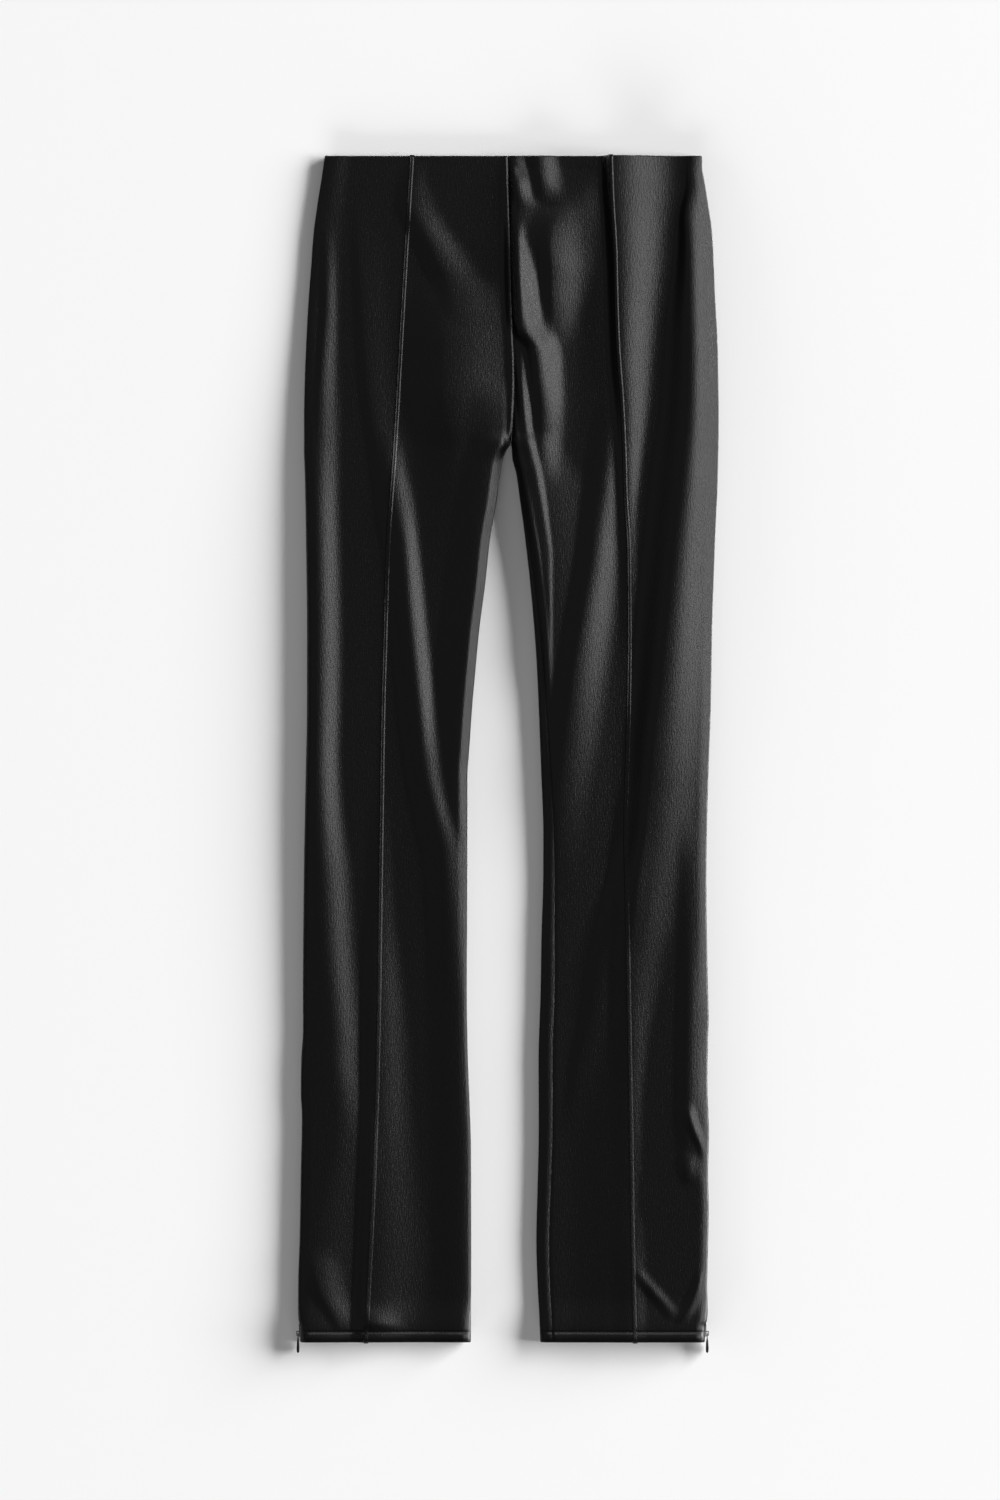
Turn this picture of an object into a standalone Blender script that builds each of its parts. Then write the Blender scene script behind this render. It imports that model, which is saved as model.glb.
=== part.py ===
"""Coated leggings laid flat, front up, on a flat surface.

Two front panels with a raised pintuck down each, two back panels lying flat
below them, and a concealed zip with a teardrop pull at each outer ankle.

Sizes are in millimetres and MM turns them into metres. +X is the wearer's left,
+Y runs up to the waist and +Z is up from the surface. `down` is the distance
below the waist edge, and every other place in the tables is an X.
"""

from collections import namedtuple
from math import acos, cos, pi, radians, sin, sqrt

import bmesh
import bpy
import numpy as np

MM = 0.001

# The garment
SIDE_LENGTH = 1050.0  # waist edge to hem
CROTCH = 256.0  # waist edge to the crotch, down the centre front
WALL = 1.2  # coated knit, one layer
HEM_DEPTH = 11.0  # the hem is turned up inside by this much
SEAM_GAP = 0.3  # between pieces
SEAM_HEIGHT = 3.4  # the side seams and inseams stand this far above the surface

# The way it lies
LOFT = 0.6  # the front lies this loosely on the back between folds
ROLL_WIDTH = 9.0  # width of the round edge
INSEAM_ROLL_WIDTH = 14.0  # the left inseam has turned to the front over this roll
CROTCH_BLEND = 14.0  # the centre seams turn into the inseams over this length
HEM_RISE = 30.0  # the front lifts over the turned-up hem within this length
WAIST_Y = 529.2  # puts the origin under the middle of the whole part

# The pintucks
TUCK_WIDTH = 4.0
TUCK_HEIGHT = 2.2
TUCK_SHOULDER = 1.5  # height of its two edges
TUCK_END = 1.2  # it stands past the waist edge and the hem by this much

# The zips
ZIP_END = 1034.0  # down to the foot of the zip, just above the turned-up hem
ZIP_SECTION = ((1.6, 0.5), (2.4, 1.1), (3.6, 1.4))  # (in from the edge, half height)
PIVOT_DOWN = 1042.0
SLIDER_TOP, SLIDER_FOOT = 1033.5, 1045.0
SLIDER_HALF_HEIGHT = 2.2
SLIDER_THICK = 0.8
ARCH_HALF_HEIGHT = 0.5
ARCH_INNER, ARCH_OUTER = 1.3, 2.0  # half lengths of the bridge's opening and of the bridge
ARCH_THICK = 0.6
PULL_BAR = 0.4  # half thickness of the bar that turns in the bridge
PULL_OUT = SEAM_GAP + SLIDER_THICK + SEAM_GAP + PULL_BAR * sqrt(2)  # pivot to cloth edge
WINDOW_FOOT, WINDOW_HALF_HEIGHT = 3.2, 0.85

Side = namedtuple("Side", "down outer tuck")
Inseam = namedtuple("Inseam", "down inner inset")
Rise = namedtuple("Rise", "down rim crest height fall")
Crest = namedtuple("Crest", "down x right height")
Fold = namedtuple("Fold", "left crest")
Leg = namedtuple("Leg", "name inward side inseam zip_top inner_roll outer_rise inner_rise folds")
PullSection = namedtuple("PullSection", "along half_height half_thick")

# Each leg's outer edge and the middle of its pintuck
RIGHT_SIDE = (
    Side(0, -162.0, -85.0),
    Side(20, -165.0, -86.0),
    Side(70, -172.2, -89.6),
    Side(130, -176.7, -93.0),
    Side(200, -180.0, -96.6),
    Side(235, -180.6, -98.7),
    Side(CROTCH, -180.6, -100.0),
    Side(260, -180.6, -100.2),
    Side(280, -179.8, -101.4),
    Side(340, -178.8, -106.0),
    Side(420, -177.9, -108.5),
    Side(490, -178.1, -110.5),
    Side(560, -179.3, -111.7),
    Side(640, -180.7, -112.7),
    Side(740, -181.5, -114.0),
    Side(820, -183.2, -115.6),
    Side(900, -183.4, -118.3),
    Side(970, -184.8, -121.5),
    Side(1022, -185.8, -124.0),
    Side(1036, -183.9, -124.8),
    Side(SIDE_LENGTH, -183.8, -125.7),
)
LEFT_SIDE = (
    Side(0, 171.7, 90.7),
    Side(20, 173.0, 91.4),
    Side(70, 180.8, 93.9),
    Side(130, 183.6, 95.7),
    Side(200, 186.1, 99.4),
    Side(235, 186.5, 101.7),
    Side(CROTCH, 186.1, 102.8),
    Side(260, 185.9, 102.9),
    Side(280, 185.8, 103.4),
    Side(340, 183.3, 106.5),
    Side(420, 180.6, 107.6),
    Side(490, 179.4, 106.7),
    Side(560, 176.9, 105.2),
    Side(640, 175.5, 104.4),
    Side(740, 176.8, 106.8),
    Side(820, 176.8, 108.2),
    Side(900, 177.2, 109.5),
    Side(970, 176.9, 110.5),
    Side(1022, 176.6, 111.7),
    Side(1036, 174.4, 112.1),
    Side(SIDE_LENGTH, 174.2, 112.4),
)
CENTRE_SEAM = ((0, 0.0), (20, 0.4), (70, 1.6), (130, 3.0), (200, 5.6), (235, 4.3), (CROTCH, 2.5))

# Each leg's inner edge, and how far the inseam has turned in from it onto the front
RIGHT_INSEAM = (
    Inseam(CROTCH, 2.5, 0),
    Inseam(260, -3.0, 0),
    Inseam(280, -6.4, 0),
    Inseam(340, -15.9, 0),
    Inseam(420, -25.4, 0),
    Inseam(490, -32.0, 0),
    Inseam(560, -35.8, 0),
    Inseam(640, -35.9, 0),
    Inseam(740, -36.3, 0),
    Inseam(820, -34.6, 0),
    Inseam(900, -32.4, 0),
    Inseam(970, -32.4, 0),
    Inseam(1022, -32.7, 0),
    Inseam(1036, -32.8, 0),
    Inseam(SIDE_LENGTH, -32.8, 0),
)
LEFT_INSEAM = (
    Inseam(CROTCH, 2.5, 0),
    Inseam(260, 3.0, 0.1),
    Inseam(280, 6.8, 0.6),
    Inseam(340, 15.1, 2.2),
    Inseam(420, 23.1, 4.3),
    Inseam(490, 27.0, 6.3),
    Inseam(560, 30.0, 8.2),
    Inseam(640, 30.7, 10.2),
    Inseam(740, 28.6, 12.4),
    Inseam(820, 27.0, 12.4),
    Inseam(900, 26.3, 11.8),
    Inseam(970, 25.3, 11.2),
    Inseam(1022, 27.0, 10.8),
    Inseam(1036, 27.8, 10.7),
    Inseam(SIDE_LENGTH, 28.3, 10.6),
)

# How the front rises along an edge: its height above the flat at the edge itself,
# the distance in to the crest, the crest's height and the width of the slope
# beyond it. The edge of this profile then rounds over.
RIGHT_OUTER_RISE = (
    Rise(0, 1.6, 9, 1.6, 18), Rise(60, 2.2, 9, 2.2, 18), Rise(120, 2.6, 12, 2.6, 17),
    Rise(200, 3.4, 11, 3.6, 20), Rise(250, 4.0, 11, 4.4, 22), Rise(310, 4.4, 9, 4.8, 24),
    Rise(430, 4.6, 9, 5.0, 25), Rise(520, 4.6, 9, 5.0, 24), Rise(580, 4.2, 11, 5.0, 26),
    Rise(640, 3.8, 15, 5.0, 31), Rise(700, 3.5, 19, 4.9, 31), Rise(760, 3.4, 24, 4.7, 31),
    Rise(800, 3.4, 27, 4.4, 31), Rise(840, 3.4, 30, 4.0, 36), Rise(880, 3.5, 26, 3.8, 48),
    Rise(950, 3.6, 12, 3.6, 56), Rise(SIDE_LENGTH, 3.6, 10, 3.6, 56),
)
LEFT_OUTER_RISE = (
    Rise(0, 2.0, 14, 4.0, 8), Rise(20, 2.2, 16, 5.0, 10), Rise(60, 2.4, 20, 6.6, 18),
    Rise(100, 2.4, 21, 7.2, 24), Rise(160, 2.4, 24, 8.0, 30), Rise(225, 2.4, 26, 8.6, 32),
    Rise(280, 2.4, 30, 9.0, 34), Rise(340, 2.4, 32, 9.0, 34), Rise(400, 2.4, 36, 9.4, 34),
    Rise(460, 2.4, 40, 9.4, 32), Rise(520, 2.4, 45, 9.0, 30), Rise(580, 2.6, 48, 8.0, 28),
    Rise(610, 2.9, 40, 6.4, 27), Rise(640, 3.1, 20, 5.6, 26), Rise(680, 3.4, 15, 5.4, 26),
    Rise(840, 3.4, 17, 5.4, 26), Rise(880, 3.5, 20, 4.6, 34), Rise(940, 3.6, 12, 4.2, 45),
    Rise(SIDE_LENGTH, 3.6, 12, 4.2, 45),
)
RIGHT_INNER_RISE = (
    Rise(CROTCH, 3.0, 8, 3.0, 30), Rise(400, 3.2, 8, 3.2, 30), Rise(520, 2.6, 8, 2.6, 30),
    Rise(640, 1.8, 9, 1.8, 30), Rise(SIDE_LENGTH, 1.6, 9, 1.6, 30),
)
LEFT_INNER_RISE = (Rise(CROTCH, 2.5, 8, 2.5, 24), Rise(SIDE_LENGTH, 2.5, 12, 2.5, 24))

# Each fold is a soft ridge: the width of its left slope, and from its upper end
# to its lower end the place of its crest, the width of its right slope and its
# height.
RIGHT_FOLDS = (
    # drag line from the tuck to the centre seam
    Fold(16, (
        Crest(4, -80, 12, 0.0), Crest(20, -83, 14, 0.8), Crest(40, -86, 25, 1.8),
        Crest(60, -79, 28, 2.9), Crest(80, -69, 32, 3.5), Crest(100, -60, 36, 3.3),
        Crest(122, -50, 42, 1.6), Crest(150, -44, 42, 0.0),
    )),
    # slope of the belly into the centre seam
    Fold(40, (
        Crest(110, -48, 48, 0.0), Crest(140, -54, 54, 2.6), Crest(165, -56, 56, 4.2),
        Crest(205, -56, 58, 4.4), Crest(235, -52, 54, 3.2), Crest(262, -46, 42, 1.9),
        Crest(330, -44, 30, 0.9), Crest(400, -46, 24, 0.0),
    )),
    # from the tuck down the inner thigh to the knee
    Fold(20, (
        Crest(240, -104, 14, 0.0), Crest(275, -102, 16, 1.8), Crest(310, -98, 19, 2.9),
        Crest(340, -93, 20, 3.4), Crest(400, -88, 21, 3.6), Crest(460, -82, 21, 3.5),
        Crest(520, -76, 20, 3.4), Crest(550, -71, 20, 3.3), Crest(580, -66, 20, 2.9),
        Crest(620, -59, 20, 1.8), Crest(670, -55, 18, 1.0), Crest(750, -53, 16, 0.0),
    )),
    # beside the tuck down the calf
    Fold(14, (
        Crest(560, -112, 10, 0.0), Crest(610, -113, 12, 0.5), Crest(680, -116, 18, 1.4),
        Crest(720, -117, 25, 2.1), Crest(760, -118, 31, 2.7), Crest(840, -119, 38, 2.9),
        Crest(900, -121, 46, 2.9), Crest(990, -124, 56, 3.0), Crest(1024, -126, 50, 3.4),
        Crest(1048, -126, 44, 2.0),
    )),
    # outer ankle
    Fold(10, (
        Crest(965, -174, 26, 0.0), Crest(988, -171, 28, 1.6), Crest(1010, -164, 28, 1.7),
        Crest(1025, -154, 24, 1.4), Crest(1042, -146, 20, 0.0),
    )),
    # long crease of the outer thigh
    Fold(9, (
        Crest(40, -134, 26, 0.0), Crest(120, -130, 28, 0.9), Crest(200, -125, 28, 1.3),
        Crest(250, -118, 26, 1.5), Crest(290, -112, 22, 1.4), Crest(345, -108, 18, 0.0),
    )),
    # below the waist, along the outer edge
    Fold(6, (
        Crest(18, -160, 10, 0.0), Crest(60, -161, 11, 0.9), Crest(120, -162, 12, 1.4),
        Crest(165, -165, 15, 1.1), Crest(210, -167, 16, 0.0),
    )),
)
LEFT_FOLDS = (
    # slope outside the tuck, widest at the waist
    Fold(28, (
        Crest(-40, 96, 50, 8.6), Crest(20, 97, 52, 8.8), Crest(60, 97, 48, 8.6),
        Crest(100, 98, 43, 8.0), Crest(140, 98, 39, 7.4), Crest(180, 100, 32, 6.0),
        Crest(225, 103, 25, 4.6), Crest(280, 104, 16, 2.8), Crest(320, 105, 12, 1.6),
        Crest(400, 107, 9, 0.5), Crest(460, 107, 8, 0.0),
    )),
    # crease from the centre seam towards the knee
    Fold(8, (
        Crest(56, 4, 10, 0.0), Crest(80, 6, 13, 2.1), Crest(100, 7, 17, 3.4),
        Crest(120, 8, 24, 4.8), Crest(140, 10, 28, 5.6), Crest(160, 19, 28, 5.4),
        Crest(180, 25, 27, 4.6), Crest(200, 28, 25, 3.9), Crest(225, 31, 22, 2.9),
        Crest(250, 32, 20, 1.9), Crest(290, 33, 14, 0.0),
    )),
    # soft fold of the belly
    Fold(22, (
        Crest(12, 62, 26, 0.0), Crest(40, 52, 30, 2.9), Crest(60, 42, 38, 4.7),
        Crest(80, 35, 42, 5.0), Crest(100, 36, 38, 4.5), Crest(120, 38, 33, 3.5),
        Crest(142, 40, 26, 2.0), Crest(172, 42, 20, 0.0),
    )),
    # narrow creases running down from the crotch
    Fold(6, (
        Crest(146, 5, 9, 0.0), Crest(165, 7, 9, 1.5), Crest(200, 11, 10, 1.7),
        Crest(225, 12, 11, 1.7), Crest(250, 16, 11, 1.7), Crest(280, 21, 11, 1.6),
        Crest(310, 26, 10, 1.2), Crest(345, 31, 8, 0.8), Crest(410, 36, 7, 0.0),
    )),
    Fold(5, (
        Crest(236, 3, 7, 0.0), Crest(270, 8, 8, 1.0), Crest(310, 16, 8, 1.3),
        Crest(345, 21, 8, 1.2), Crest(400, 27, 8, 0.9), Crest(460, 32, 7, 0.7),
        Crest(492, 33, 6, 0.0),
    )),
    # broad fold between them and the tuck
    Fold(20, (
        Crest(215, 86, 14, 0.0), Crest(250, 81, 17, 1.1), Crest(280, 78, 21, 2.5),
        Crest(310, 74, 25, 3.7), Crest(340, 70, 28, 4.1), Crest(370, 65, 31, 4.5),
        Crest(400, 61, 33, 4.6), Crest(430, 57, 34, 4.3), Crest(460, 53, 34, 3.8),
        Crest(490, 50, 34, 3.2), Crest(520, 49, 31, 2.7), Crest(550, 48, 27, 2.2),
        Crest(580, 46, 25, 1.1), Crest(640, 46, 22, 0.0),
    )),
    # outer side of the knee, running in to the tuck
    Fold(20, (
        Crest(560, 132, 30, 0.0), Crest(600, 125, 34, 1.4), Crest(640, 118, 38, 2.8),
        Crest(680, 113, 38, 2.9), Crest(720, 106, 34, 2.4), Crest(760, 106, 23, 2.2),
        Crest(800, 107, 17, 1.8), Crest(840, 108, 13, 1.4), Crest(890, 108, 11, 0.9),
        Crest(925, 109, 8, 0.4), Crest(960, 108, 15, 0.9), Crest(990, 109, 14, 1.3),
        Crest(1030, 110, 14, 1.4), Crest(1048, 110, 12, 0.6),
    )),
    # inner side of the knee
    Fold(12, (
        Crest(545, 108, 20, 0.0), Crest(610, 101, 28, 1.3), Crest(640, 97, 30, 1.5),
        Crest(680, 89, 30, 1.5), Crest(720, 79, 28, 1.4), Crest(760, 73, 26, 1.2),
        Crest(800, 64, 24, 0.9), Crest(870, 54, 20, 0.0),
    )),
    # puckers under the waist edge
    Fold(6, (Crest(2, 4, 13, 0.8), Crest(20, 5, 14, 1.9), Crest(34, 8, 16, 1.3), Crest(48, 12, 16, 0.0))),
    Fold(7, (Crest(-6, 27, 14, 1.2), Crest(12, 28, 15, 1.9), Crest(26, 31, 14, 1.0), Crest(38, 34, 12, 0.0))),
)
RIGHT = Leg(
    "right", 1, RIGHT_SIDE, RIGHT_INSEAM, 776.0, ROLL_WIDTH,
    RIGHT_OUTER_RISE, RIGHT_INNER_RISE, RIGHT_FOLDS,
)
LEFT = Leg(
    "left", -1, LEFT_SIDE, LEFT_INSEAM, 749.0, INSEAM_ROLL_WIDTH,
    LEFT_OUTER_RISE, LEFT_INNER_RISE, LEFT_FOLDS,
)

# The pull, from the bar that turns in the bridge down to its round end
PULL = (
    PullSection(-0.4, 1.9, 0.4),
    PullSection(3.8, 1.9, 0.4),
    PullSection(6.5, 1.6, 0.6),
    PullSection(10.0, 2.1, 0.8),
    PullSection(13.5, 2.5, 0.9),
    PullSection(16.2, 1.9, 0.8),
    PullSection(17.3, 0.8, 0.4),
)

# Mesh density
NEAR_EDGE = (0.0, 0.006, 0.027, 0.062, 0.11)  # shares of the way from an edge to the tuck
FLAT_COLUMNS = 8
ROLL_STEPS = 5
BODY_STEP, LEG_STEP = 30.0, 31.0


def smoothstep(t):
    t = min(max(t, 0.0), 1.0)
    return t * t * (3 - 2 * t)


def through(points, at):
    """The value at `at` of a monotone cubic through (place, value) points."""
    place, value = np.array(points, float).T
    slope = np.diff(value) / np.diff(place)
    tangent = np.concatenate([slope[:1], np.zeros(len(slope) - 1), slope[-1:]])
    for i in range(1, len(slope)):
        if slope[i - 1] * slope[i] > 0:
            tangent[i] = 2 * slope[i - 1] * slope[i] / (slope[i - 1] + slope[i])
    i = int(np.clip(np.searchsorted(place, at) - 1, 0, len(slope) - 1))
    step = place[i + 1] - place[i]
    t = min(max((at - place[i]) / step, 0.0), 1.0)
    rest = 1 - t
    return (
        value[i] * (1 + 2 * t) * rest * rest
        + tangent[i] * step * t * rest * rest
        + value[i + 1] * t * t * (3 - 2 * t)
        - tangent[i + 1] * step * t * t * rest
    )


def column(table, name, down):
    return through([(row.down, getattr(row, name)) for row in table], down)


def outer_edge(leg, down):
    return column(leg.side, "outer", down)


def inner_edge(leg, down):
    """The centre seam or the leg's inner edge, half a seam gap into the leg."""
    if down < CROTCH:
        return through(CENTRE_SEAM, down) - leg.inward * SEAM_GAP / 2
    return column(leg.inseam, "inner", down) - leg.inward * SEAM_GAP / 2


def parted(down):
    """0 where the halves meet at the centre seam, 1 where the legs are apart."""
    return smoothstep((down - CROTCH + CROTCH_BLEND) / CROTCH_BLEND)


def wall(down):
    return 2 * WALL if down > SIDE_LENGTH - HEM_DEPTH - 0.1 else WALL


def stations():
    """Where the cross-sections lie, from the waist edge down to the hem."""
    body = np.arange(BODY_STEP, CROTCH - CROTCH_BLEND - 5, BODY_STEP)
    crotch = CROTCH + np.array([-14.0, -9.0, -5.0, -2.0, 0.0, 4.0, 12.0, 28.0])
    hem = SIDE_LENGTH - HEM_DEPTH
    leg = np.arange(crotch[-1] + LEG_STEP, hem - 12, LEG_STEP)
    return [0.0, 6.0, *body, *crotch, *leg, hem - 1.2, hem, SIDE_LENGTH]


def fold_height(fold, x, down):
    if not fold.crest[0].down < down < fold.crest[-1].down:
        return 0.0
    across = x - column(fold.crest, "x", down)
    width = column(fold.crest, "right", down) if across > 0 else fold.left
    share = min(abs(across) / width, 1.0)
    return column(fold.crest, "height", down) * cos(share * pi / 2) ** 2


def edge_height(rise, distance, down):
    rim, crest, top, fall = (column(rise, name, down) for name in ("rim", "crest", "height", "fall"))
    if distance < crest:
        return rim + (top - rim) * sin(distance / crest * pi / 2)
    return top * cos(min((distance - crest) / fall, 1.0) * pi / 2) ** 2


def height(leg, x, down):
    """How high the front's outer face would lie, before its edges round over."""
    over_hem = smoothstep(1 - (SIDE_LENGTH - HEM_DEPTH - down) / HEM_RISE)
    lying = 2 * WALL * (1 + over_hem) + SEAM_GAP + LOFT
    edges = edge_height(leg.outer_rise, abs(x - outer_edge(leg, down)), down)
    if down > CROTCH - CROTCH_BLEND:
        edges += parted(down) * edge_height(leg.inner_rise, abs(x - inner_edge(leg, down)), down)
    return lying + edges + sum(fold_height(fold, x, down) for fold in leg.folds)


def lean(leg, x, down):
    """How far the wall leans over at an edge, 1 for upright, and which way is in."""
    from_outer = 1 - abs(x - outer_edge(leg, down)) / ROLL_WIDTH
    from_inner = 1 - abs(x - inner_edge(leg, down)) / leg.inner_roll
    if from_outer > 0:
        return min(from_outer, 1.0), leg.inward
    return parted(down) * min(max(from_inner, 0.0), 1.0), -leg.inward


def top_pair(leg, x, down):
    """The outer and inner (X, Z) of the upper layer."""
    leaning, way = lean(leg, x, down)
    rise = sqrt(1 - leaning**2)
    z = SEAM_HEIGHT + (height(leg, x, down) - SEAM_HEIGHT) * rise
    return (x, z), (x + way * wall(down) * leaning, z - wall(down) * rise)


def bottom_pair(leg, x, down):
    """The outer and inner (X, Z) of the lower layer, which lies on the surface."""
    leaning, way = lean(leg, x, down)
    rise = sqrt(1 - leaning**2)
    z = SEAM_HEIGHT * (1 - rise)
    return (x, z), (x + way * wall(down) * leaning, z + wall(down) * rise)


def moved(pair, dx, dz):
    return tuple((x + dx, z + dz) for x, z in pair)


def seam_turn(leg, down):
    """The angle round the inner roll at which the inseam lies, 0 at the silhouette."""
    share = column(leg.inseam, "inset", down) / leg.inner_roll
    return acos(1 - min(share, 0.93)) * parted(down)


def front_places(leg, down):
    """The Xs of a front panel's columns, from the outer seam to the inner seam."""
    outer, inner = outer_edge(leg, down), inner_edge(leg, down)
    inner -= leg.inward * leg.inner_roll * (1 - cos(seam_turn(leg, down)))
    tuck, half = column(leg.side, "tuck", down), leg.inward * TUCK_WIDTH / 2
    shares = [*NEAR_EDGE, *np.linspace(NEAR_EDGE[-1], 1, FLAT_COLUMNS + 1)[1:]]
    to_tuck = [outer + (tuck - half - outer) * share for share in shares]
    past_tuck = [inner + (tuck + half - inner) * share for share in shares]
    return [*to_tuck, tuck, *reversed(past_tuck)]


def front_row(leg, down):
    pairs = [top_pair(leg, x, down) for x in front_places(leg, down)]
    turn, half = seam_turn(leg, down), parted(down) * SEAM_GAP / 2
    pairs[0] = moved(pairs[0], 0, SEAM_GAP / 2)
    pairs[-1] = moved(pairs[-1], -leg.inward * half * sin(turn), half * cos(turn))
    return pairs


def back_row(leg, down):
    """From the outer seam, under the leg, to the inner seam and up to where it has turned."""
    outer, inner = outer_edge(leg, down), inner_edge(leg, down)
    pairs = []
    for step in range(ROLL_STEPS + 1):
        turn = radians(90) * step / ROLL_STEPS
        x = outer + leg.inward * ROLL_WIDTH * (1 - cos(turn))
        pairs.append(bottom_pair(leg, x, down))
    last = seam_turn(leg, down)
    for step in range(ROLL_STEPS + 1):
        turn = -radians(90) + (last + radians(90)) * step / ROLL_STEPS
        x = inner - leg.inward * leg.inner_roll * (1 - cos(turn))
        layer = top_pair if turn > 1e-6 else bottom_pair
        pairs.append(layer(leg, x, down))
    half = parted(down) * SEAM_GAP / 2
    pairs[0] = moved(pairs[0], 0, -SEAM_GAP / 2)
    pairs[-1] = moved(pairs[-1], leg.inward * half * sin(last), -half * cos(last))
    return pairs


def tuck_ring(leg, down):
    """The pintuck's section on the panel below it, as a loop of (X, Z)."""
    middle, half = column(leg.side, "tuck", down), leg.inward * TUCK_WIDTH / 2
    foot = [middle - half, middle, middle + half]
    z = [top_pair(leg, x, down)[0][1] + SEAM_GAP for x in foot]
    return [
        *zip(foot, z),
        (foot[2] - half / 4, z[2] + TUCK_SHOULDER),
        (middle, z[1] + TUCK_HEIGHT),
        (foot[0] + half / 4, z[0] + TUCK_SHOULDER),
    ]


def zip_ring(leg, down):
    """The zip's section just inside the outer seam, narrow towards the cloth's edge."""
    edge = outer_edge(leg, down)
    upper = [(edge + leg.inward * way, SEAM_HEIGHT + half) for way, half in ZIP_SECTION]
    lower = [(edge + leg.inward * way, SEAM_HEIGHT - half) for way, half in ZIP_SECTION]
    return upper + lower[::-1]


def point(x, down, z):
    return (x * MM, (WAIST_Y - down) * MM, z * MM)


def material(name, colour, roughness, metallic=0.0):
    made = bpy.data.materials.new(name)
    made.use_nodes = True
    shader = made.node_tree.nodes["Principled BSDF"]
    shader.inputs["Base Color"].default_value = (*colour, 1.0)
    shader.inputs["Roughness"].default_value = roughness
    shader.inputs["Metallic"].default_value = metallic
    return made


def object_from(bm, name, made):
    bmesh.ops.recalc_face_normals(bm, faces=bm.faces)
    mesh = bpy.data.meshes.new(name)
    bm.to_mesh(mesh)
    bm.free()
    mesh.shade_smooth()
    mesh.set_sharp_from_angle(angle=radians(40))
    mesh.materials.append(made)
    obj = bpy.data.objects.new(name, mesh)
    bpy.context.scene.collection.objects.link(obj)
    return obj


def add_quad(bm, a, b, c, d):
    """Two triangles that meet along a-c, so that pieces that lie on each other fold alike."""
    bm.faces.new((a, b, c))
    bm.faces.new((a, c, d))


def walled(name, rows, downs, made):
    """A closed wall through rows of (outer, inner) pairs."""
    bm = bmesh.new()
    outer = [[bm.verts.new(point(o[0], d, o[1])) for o, _ in row] for row, d in zip(rows, downs)]
    inner = [[bm.verts.new(point(i[0], d, i[1])) for _, i in row] for row, d in zip(rows, downs)]
    last_row, last_column = len(rows) - 1, len(rows[0]) - 1
    for a in range(last_row):
        for b in range(last_column):
            for layer in (outer, inner):
                add_quad(bm, layer[a][b], layer[a][b + 1], layer[a + 1][b + 1], layer[a + 1][b])
        for b in (0, last_column):
            add_quad(bm, outer[a][b], outer[a + 1][b], inner[a + 1][b], inner[a][b])
    for a in (0, last_row):
        for b in range(last_column):
            add_quad(bm, outer[a][b], outer[a][b + 1], inner[a][b + 1], inner[a][b])
    return object_from(bm, name, made)


def lofted(name, rings, made):
    """A closed solid through loops of points, capped at both ends."""
    bm = bmesh.new()
    loops = [[bm.verts.new(place) for place in ring] for ring in rings]
    for first, second in zip(loops, loops[1:]):
        for i in range(len(first)):
            add_quad(bm, first[i - 1], first[i], second[i], second[i - 1])
    bm.faces.new(loops[0])
    bm.faces.new(loops[-1])
    return object_from(bm, name, made)


def box(name, low, high, made):
    bm = bmesh.new()
    bmesh.ops.create_cube(bm, size=1.0)
    for vert in bm.verts:
        vert.co = [high[i] if vert.co[i] > 0 else low[i] for i in range(3)]
    return object_from(bm, name, made)


def boolean(obj, other, operation):
    """Joins or cuts with another object, which then stays as a guide only."""
    other.hide_render = True
    other.display_type = "WIRE"
    modifier = obj.modifiers.new(other.name, "BOOLEAN")
    modifier.operation = operation
    modifier.object = other


def sorted_box(name, corner_a, corner_b, made):
    low = [min(pair) for pair in zip(corner_a, corner_b)]
    high = [max(pair) for pair in zip(corner_a, corner_b)]
    return box(name, low, high, made)


def make_panels(leg, cloth):
    downs = stations()
    walled(f"front_{leg.name}", [front_row(leg, d) for d in downs], downs, cloth)
    walled(f"back_{leg.name}", [back_row(leg, d) for d in downs], downs, cloth)


def make_tuck(leg, cloth):
    downs = stations()
    rings = [[point(x, d, z) for x, z in tuck_ring(leg, d)] for d in downs]
    first = [point(x, -TUCK_END, z) for x, z in tuck_ring(leg, downs[0])]
    last = [point(x, SIDE_LENGTH + TUCK_END, z) for x, z in tuck_ring(leg, downs[-1])]
    lofted(f"tuck_{leg.name}", [first, *rings, last], cloth)


def make_zip(leg, tape):
    between = [d for d in stations() if leg.zip_top + 5 < d < ZIP_END - 5]
    downs = [leg.zip_top, *between, ZIP_END]
    rings = [[point(x, d, z) for x, z in zip_ring(leg, d)] for d in downs]
    lofted(f"zip_{leg.name}", rings, tape)


def make_slider(leg, metal):
    """A flat body against the closed seam, with a bridge for the pull."""
    edge = outer_edge(leg, PIVOT_DOWN)

    def block(name, out_a, out_b, down_a, down_b, half):
        near = point(edge - leg.inward * out_a, down_a, SEAM_HEIGHT - half)
        far = point(edge - leg.inward * out_b, down_b, SEAM_HEIGHT + half)
        return sorted_box(name, near, far, metal)

    face = SEAM_GAP + SLIDER_THICK
    under = PULL_OUT + PULL_BAR * sqrt(2) + SEAM_GAP
    body = block(f"slider_{leg.name}", SEAM_GAP, face, SLIDER_TOP, SLIDER_FOOT, SLIDER_HALF_HEIGHT)
    bridge = block(
        f"bridge_{leg.name}",
        face - 0.2,
        under + ARCH_THICK,
        PIVOT_DOWN - ARCH_OUTER,
        PIVOT_DOWN + ARCH_OUTER,
        ARCH_HALF_HEIGHT,
    )
    hollow = block(
        f"bridge_hollow_{leg.name}",
        face,
        under,
        PIVOT_DOWN - ARCH_INNER,
        PIVOT_DOWN + ARCH_INNER,
        2 * ARCH_HALF_HEIGHT,
    )
    boolean(bridge, hollow, "DIFFERENCE")
    boolean(body, bridge, "UNION")


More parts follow.
